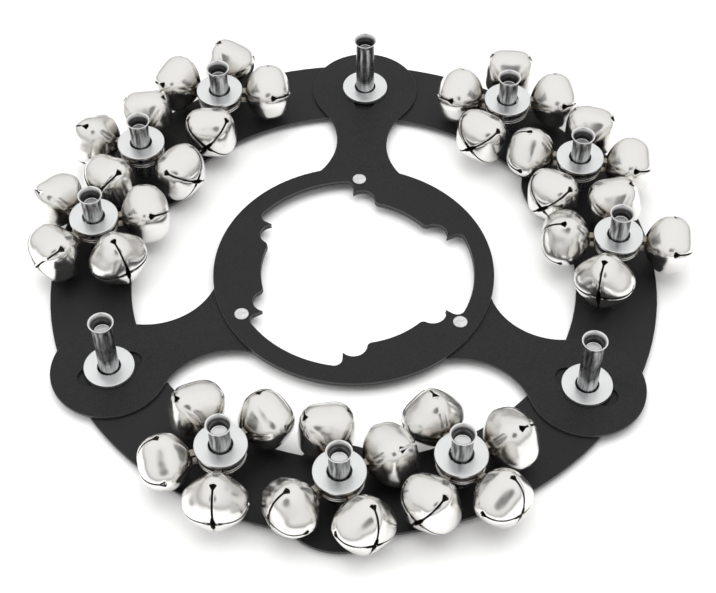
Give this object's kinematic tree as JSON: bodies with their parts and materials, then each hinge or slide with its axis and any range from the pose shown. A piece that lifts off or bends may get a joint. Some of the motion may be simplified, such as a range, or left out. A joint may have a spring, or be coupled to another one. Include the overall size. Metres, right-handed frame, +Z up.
{
  "type": "ring sleigh bells",
  "caption": "Flat black ring carrying clusters of small nickel bells on tubular rivets, with a loose three-armed centre plate that floats on tall rivets.",
  "frame": {"origin": "middle of the footprint, level with the undersides of the rivet heads that the ring lies on", "axes": "+Z up along the ring axis and the rivets, +Y towards the first arm of the centre plate, +X to the right"},
  "size_m": [0.2154, 0.2108, 0.0267],
  "materials": {
    "black_plate": "satin black powder coat",
    "zinc_washer": "zinc plated, slightly dull",
    "steel_wire": "nickel plated spring wire",
    "nickel_bell": "bright nickel plate"
  },
  "bodies": {
    "ring": {"base_ring": "black_plate"},
    "centre_plate": {"spider": "black_plate", "hub_disc": "black_plate", "lobe_washer_1": "zinc_washer", "lobe_washer_2": "zinc_washer", "lobe_washer_3": "zinc_washer"},
    "cluster_1": {"split_ring_1": "steel_wire", "cluster_washer_1": "zinc_washer"},
    "cluster_2": {"split_ring_2": "steel_wire", "cluster_washer_2": "zinc_washer"},
    "cluster_3": {"split_ring_3": "steel_wire", "cluster_washer_3": "zinc_washer"},
    "cluster_4": {"split_ring_4": "steel_wire", "cluster_washer_4": "zinc_washer"},
    "cluster_5": {"split_ring_5": "steel_wire", "cluster_washer_5": "zinc_washer"},
    "cluster_6": {"split_ring_6": "steel_wire", "cluster_washer_6": "zinc_washer"},
    "cluster_7": {"split_ring_7": "steel_wire", "cluster_washer_7": "zinc_washer"},
    "cluster_8": {"split_ring_8": "steel_wire", "cluster_washer_8": "zinc_washer"},
    "cluster_9": {"split_ring_9": "steel_wire", "cluster_washer_9": "zinc_washer"},
    "bell_1_1": {"bell_1_1": "nickel_bell"},
    "bell_1_2": {"bell_1_2": "nickel_bell"},
    "bell_1_3": {"bell_1_3": "nickel_bell"},
    "bell_1_4": {"bell_1_4": "nickel_bell"},
    "bell_2_1": {"bell_2_1": "nickel_bell"},
    "bell_2_2": {"bell_2_2": "nickel_bell"},
    "bell_2_3": {"bell_2_3": "nickel_bell"},
    "bell_2_4": {"bell_2_4": "nickel_bell"},
    "bell_3_1": {"bell_3_1": "nickel_bell"},
    "bell_3_2": {"bell_3_2": "nickel_bell"},
    "bell_3_3": {"bell_3_3": "nickel_bell"},
    "bell_3_4": {"bell_3_4": "nickel_bell"},
    "bell_4_1": {"bell_4_1": "nickel_bell"},
    "bell_4_2": {"bell_4_2": "nickel_bell"},
    "bell_4_3": {"bell_4_3": "nickel_bell"},
    "bell_4_4": {"bell_4_4": "nickel_bell"},
    "bell_5_1": {"bell_5_1": "nickel_bell"},
    "bell_5_2": {"bell_5_2": "nickel_bell"},
    "bell_5_3": {"bell_5_3": "nickel_bell"},
    "bell_5_4": {"bell_5_4": "nickel_bell"},
    "bell_6_1": {"bell_6_1": "nickel_bell"},
    "bell_6_2": {"bell_6_2": "nickel_bell"},
    "bell_6_3": {"bell_6_3": "nickel_bell"},
    "bell_6_4": {"bell_6_4": "nickel_bell"},
    "bell_7_1": {"bell_7_1": "nickel_bell"},
    "bell_7_2": {"bell_7_2": "nickel_bell"},
    "bell_7_3": {"bell_7_3": "nickel_bell"},
    "bell_7_4": {"bell_7_4": "nickel_bell"},
    "bell_8_1": {"bell_8_1": "nickel_bell"},
    "bell_8_2": {"bell_8_2": "nickel_bell"},
    "bell_8_3": {"bell_8_3": "nickel_bell"},
    "bell_8_4": {"bell_8_4": "nickel_bell"},
    "bell_9_1": {"bell_9_1": "nickel_bell"},
    "bell_9_2": {"bell_9_2": "nickel_bell"},
    "bell_9_3": {"bell_9_3": "nickel_bell"},
    "bell_9_4": {"bell_9_4": "nickel_bell"}
  },
  "joints": [
    {"name": "centre_plate_lift", "type": "slide", "parent": "ring", "child": "centre_plate", "axis": [0, 0, 1], "range_m": [0, 0.0185]},
    {"name": "cluster_1_lift", "type": "slide", "parent": "ring", "child": "cluster_1", "axis": [0, 0, 1], "range_m": [0, 0.006]},
    {"name": "cluster_2_lift", "type": "slide", "parent": "ring", "child": "cluster_2", "axis": [0, 0, 1], "range_m": [0, 0.006]},
    {"name": "cluster_3_lift", "type": "slide", "parent": "ring", "child": "cluster_3", "axis": [0, 0, 1], "range_m": [0, 0.006]},
    {"name": "cluster_4_lift", "type": "slide", "parent": "ring", "child": "cluster_4", "axis": [0, 0, 1], "range_m": [0, 0.006]},
    {"name": "cluster_5_lift", "type": "slide", "parent": "ring", "child": "cluster_5", "axis": [0, 0, 1], "range_m": [0, 0.006]},
    {"name": "cluster_6_lift", "type": "slide", "parent": "ring", "child": "cluster_6", "axis": [0, 0, 1], "range_m": [0, 0.006]},
    {"name": "cluster_7_lift", "type": "slide", "parent": "ring", "child": "cluster_7", "axis": [0, 0, 1], "range_m": [0, 0.006]},
    {"name": "cluster_8_lift", "type": "slide", "parent": "ring", "child": "cluster_8", "axis": [0, 0, 1], "range_m": [0, 0.006]},
    {"name": "cluster_9_lift", "type": "slide", "parent": "ring", "child": "cluster_9", "axis": [0, 0, 1], "range_m": [0, 0.006]},
    {"name": "bell_1_1_swing", "type": "hinge", "parent": "cluster_1", "child": "bell_1_1", "pos_m": [-0.05046, 0.07777, 0.0128], "axis": [0.9962, -0.0872, 0], "range_deg": [0, 5]},
    {"name": "bell_1_2_swing", "type": "hinge", "parent": "cluster_1", "child": "bell_1_2", "pos_m": [-0.05703, 0.07377, 0.0128], "axis": [0.3808, 0.9247, 0], "range_deg": [0, 5]},
    {"name": "bell_1_3_swing", "type": "hinge", "parent": "cluster_1", "child": "bell_1_3", "pos_m": [-0.04464, 0.07254, 0.0128], "axis": [0.1908, -0.9816, 0], "range_deg": [0, 5]},
    {"name": "bell_1_4_swing", "type": "hinge", "parent": "cluster_1", "child": "bell_1_4", "pos_m": [-0.05159, 0.06482, 0.0128], "axis": [-0.9962, 0.0872, 0], "range_deg": [0, 5]},
    {"name": "bell_2_1_swing", "type": "hinge", "parent": "cluster_2", "child": "bell_2_1", "pos_m": [-0.08116, 0.04656, 0.0128], "axis": [0.2588, 0.9659, 0], "range_deg": [0, 5]},
    {"name": "bell_2_2_swing", "type": "hinge", "parent": "cluster_2", "child": "bell_2_2", "pos_m": [-0.075, 0.05138, 0.0128], "axis": [0.9999, 0.0173, 0], "range_deg": [0, 5]},
    {"name": "bell_2_3_swing", "type": "hinge", "parent": "cluster_2", "child": "bell_2_3", "pos_m": [-0.0695, 0.04124, 0.0128], "axis": [-0.5592, -0.829, 0], "range_deg": [0, 5]},
    {"name": "bell_2_4_swing", "type": "hinge", "parent": "cluster_2", "child": "bell_2_4", "pos_m": [-0.07823, 0.0393, 0.0128], "axis": [-0.8572, 0.515, 0], "range_deg": [0, 5]},
    {"name": "bell_3_1_swing", "type": "hinge", "parent": "cluster_3", "child": "bell_3_1", "pos_m": [-0.09116, 0.01473, 0.0128], "axis": [0.5736, 0.8192, 0], "range_deg": [0, 5]},
    {"name": "bell_3_2_swing", "type": "hinge", "parent": "cluster_3", "child": "bell_3_2", "pos_m": [-0.07965, 0.01301, 0.0128], "axis": [0.309, -0.9511, 0], "range_deg": [0, 5]},
    {"name": "bell_3_3_swing", "type": "hinge", "parent": "cluster_3", "child": "bell_3_3", "pos_m": [-0.0901, 0.0061, 0.0128], "axis": [-0.7547, 0.6561, 0], "range_deg": [0, 5]},
    {"name": "bell_3_4_swing", "type": "hinge", "parent": "cluster_3", "child": "bell_3_4", "pos_m": [-0.0822, 0.00561, 0.0128], "axis": [-0.829, -0.5592, 0], "range_deg": [0, 5]},
    {"name": "bell_4_1_swing", "type": "hinge", "parent": "cluster_4", "child": "bell_4_1", "pos_m": [-0.03943, -0.0696, 0.0128], "axis": [0.8572, 0.515, 0], "range_deg": [0, 5]},
    {"name": "bell_4_2_swing", "type": "hinge", "parent": "cluster_4", "child": "bell_4_2", "pos_m": [-0.03145, -0.07061, 0.0128], "axis": [0.7018, -0.7124, 0], "range_deg": [0, 5]},
    {"name": "bell_4_3_swing", "type": "hinge", "parent": "cluster_4", "child": "bell_4_3", "pos_m": [-0.04236, -0.07685, 0.0128], "axis": [-0.2588, 0.9659, 0], "range_deg": [0, 5]},
    {"name": "bell_4_4_swing", "type": "hinge", "parent": "cluster_4", "child": "bell_4_4", "pos_m": [-0.03608, -0.08167, 0.0128], "axis": [-1, 0, 0], "range_deg": [0, 5]},
    {"name": "bell_5_1_swing", "type": "hinge", "parent": "cluster_5", "child": "bell_5_1", "pos_m": [-0.00309, -0.07638, 0.0128], "axis": [0.9603, 0.2791, 0], "range_deg": [0, 5]},
    {"name": "bell_5_2_swing", "type": "hinge", "parent": "cluster_5", "child": "bell_5_2", "pos_m": [0.00429, -0.07926, 0.0128], "axis": [0.5169, -0.856, 0], "range_deg": [0, 5]},
    {"name": "bell_5_3_swing", "type": "hinge", "parent": "cluster_5", "child": "bell_5_3", "pos_m": [-0.00639, -0.08662, 0.0128], "axis": [-0.6157, 0.788, 0], "range_deg": [0, 5]},
    {"name": "bell_5_4_swing", "type": "hinge", "parent": "cluster_5", "child": "bell_5_4", "pos_m": [0.00168, -0.08841, 0.0128], "axis": [-0.891, -0.454, 0], "range_deg": [0, 5]},
    {"name": "bell_6_1_swing", "type": "hinge", "parent": "cluster_6", "child": "bell_6_1", "pos_m": [0.03036, -0.0695, 0.0128], "axis": [0.872, 0.4894, 0], "range_deg": [0, 5]},
    {"name": "bell_6_2_swing", "type": "hinge", "parent": "cluster_6", "child": "bell_6_2", "pos_m": [0.03917, -0.07192, 0.0128], "axis": [0.5, -0.866, 0], "range_deg": [0, 5]},
    {"name": "bell_6_3_swing", "type": "hinge", "parent": "cluster_6", "child": "bell_6_3", "pos_m": [0.03034, -0.08083, 0.0128], "axis": [-0.8705, 0.4922, 0], "range_deg": [0, 5]},
    {"name": "bell_6_4_swing", "type": "hinge", "parent": "cluster_6", "child": "bell_6_4", "pos_m": [0.03814, -0.07976, 0.0128], "axis": [-0.7071, -0.7071, 0], "range_deg": [0, 5]},
    {"name": "bell_7_1_swing", "type": "hinge", "parent": "cluster_7", "child": "bell_7_1", "pos_m": [0.08325, 0.0175, 0.0128], "axis": [1, 0.0057, 0], "range_deg": [0, 5]},
    {"name": "bell_7_2_swing", "type": "hinge", "parent": "cluster_7", "child": "bell_7_2", "pos_m": [0.0768, 0.01146, 0.0128], "axis": [0.0698, 0.9976, 0], "range_deg": [0, 5]},
    {"name": "bell_7_3_swing", "type": "hinge", "parent": "cluster_7", "child": "bell_7_3", "pos_m": [0.08979, 0.01077, 0.0128], "axis": [-0.0349, -0.9994, 0], "range_deg": [0, 5]},
    {"name": "bell_7_4_swing", "type": "hinge", "parent": "cluster_7", "child": "bell_7_4", "pos_m": [0.08139, 0.00479, 0.0128], "axis": [-0.9563, 0.2924, 0], "range_deg": [0, 5]},
    {"name": "bell_8_1_swing", "type": "hinge", "parent": "cluster_8", "child": "bell_8_1", "pos_m": [0.07409, 0.05113, 0.0128], "axis": [0.9629, -0.27, 0], "range_deg": [0, 5]},
    {"name": "bell_8_2_swing", "type": "hinge", "parent": "cluster_8", "child": "bell_8_2", "pos_m": [0.06612, 0.04675, 0.0128], "axis": [0.2883, 0.9575, 0], "range_deg": [0, 5]},
    {"name": "bell_8_3_swing", "type": "hinge", "parent": "cluster_8", "child": "bell_8_3", "pos_m": [0.07884, 0.04492, 0.0128], "axis": [0.0064, -1, 0], "range_deg": [0, 5]},
    {"name": "bell_8_4_swing", "type": "hinge", "parent": "cluster_8", "child": "bell_8_4", "pos_m": [0.0689, 0.03936, 0.0128], "axis": [-0.848, 0.5299, 0], "range_deg": [0, 5]},
    {"name": "bell_9_1_swing", "type": "hinge", "parent": "cluster_9", "child": "bell_9_1", "pos_m": [0.04893, 0.07778, 0.0128], "axis": [0.9976, -0.0698, 0], "range_deg": [0, 5]},
    {"name": "bell_9_2_swing", "type": "hinge", "parent": "cluster_9", "child": "bell_9_2", "pos_m": [0.04223, 0.07309, 0.0128], "axis": [0.2756, 0.9613, 0], "range_deg": [0, 5]},
    {"name": "bell_9_3_swing", "type": "hinge", "parent": "cluster_9", "child": "bell_9_3", "pos_m": [0.05482, 0.07274, 0.0128], "axis": [0.2216, -0.9751, 0], "range_deg": [0, 5]},
    {"name": "bell_9_4_swing", "type": "hinge", "parent": "cluster_9", "child": "bell_9_4", "pos_m": [0.0451, 0.06574, 0.0128], "axis": [-0.8541, 0.5202, 0], "range_deg": [0, 5]}
  ]
}
